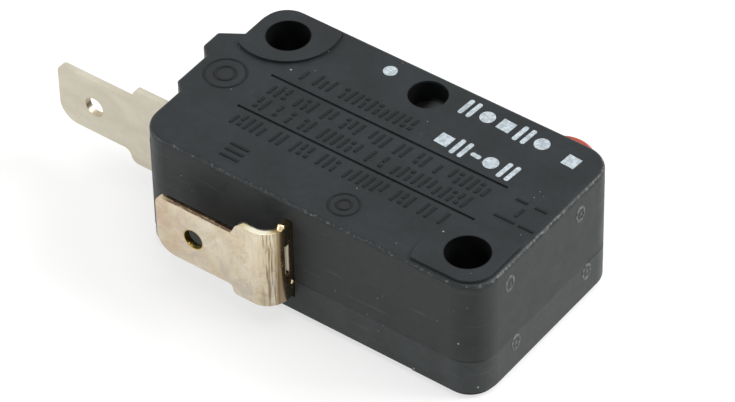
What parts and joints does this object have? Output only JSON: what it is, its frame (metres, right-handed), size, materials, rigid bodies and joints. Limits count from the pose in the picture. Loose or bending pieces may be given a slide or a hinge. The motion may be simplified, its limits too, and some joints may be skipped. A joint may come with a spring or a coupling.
{
  "type": "door interlock switch",
  "caption": "Snap-action door interlock switch: moulded case and cover, push button, two push-on tabs, sprung contact arm.",
  "frame": {"origin": "centre of the lower mounting hole, on the raised pads of the cover's outer face", "axes": "+Z through the thickness from cover to case, +X along the housing away from the terminal end, +Y towards the push button"},
  "size_m": [0.0381, 0.021, 0.0103],
  "materials": {
    "housing_plastic": "fine matt black moulding",
    "button_plastic": "satin orange-red moulding",
    "tab_metal": "plated brass strip",
    "brass": "bare brass",
    "arm_metal": "copper alloy strip",
    "contact_metal": "silver contact",
    "steel": "plated steel",
    "spring_steel": "drawn steel wire"
  },
  "bodies": {
    "housing": {"case": "housing_plastic", "cover": "housing_plastic", "common_terminal": "tab_metal", "pivot_bracket": "brass", "bracket_rivet": "brass", "normally_open_terminal": "tab_metal", "fixed_contact": "contact_metal", "back_stop": "brass", "lever_pin": "steel", "return_spring": "spring_steel"},
    "plunger": {"plunger": "button_plastic"},
    "lever": {"actuating_lever": "steel"},
    "contact_arm": {"moving_arm": "arm_metal", "moving_contact": "contact_metal"},
    "snap_spring": {"snap_spring": "spring_steel"}
  },
  "joints": [
    {"name": "plunger_press", "type": "slide", "parent": "housing", "child": "plunger", "axis": [0, -1, 0], "range_m": [0, 0.002], "stiffness_N_per_m": 900, "springref_m": -0.0012, "deforming": ["return_spring"]},
    {"name": "lever_hinge", "type": "hinge", "parent": "housing", "child": "lever", "pos_m": [-0.012, 0.008, 0.00515], "axis": [0, 0, -1], "range_deg": [0, 11.5]},
    {"name": "contact_hinge", "type": "hinge", "parent": "housing", "child": "contact_arm", "pos_m": [-0.0051, 0.00456, 0.00515], "axis": [0, 0, 1], "range_deg": [0, 3.85]},
    {"name": "spring_swing", "type": "hinge", "parent": "contact_arm", "child": "snap_spring", "pos_m": [-0.0154, 0.00456, 0.00515], "axis": [0, 0, -1], "range_deg": [0, 8.4]}
  ],
  "couplings": [
    {"joint": "lever_hinge", "follows": "plunger_press", "rad_per_m": 100},
    {"joint": "contact_hinge", "follows": "plunger_press", "rad_per_m": 33.5},
    {"joint": "spring_swing", "follows": "plunger_press", "rad_per_m": 73}
  ]
}
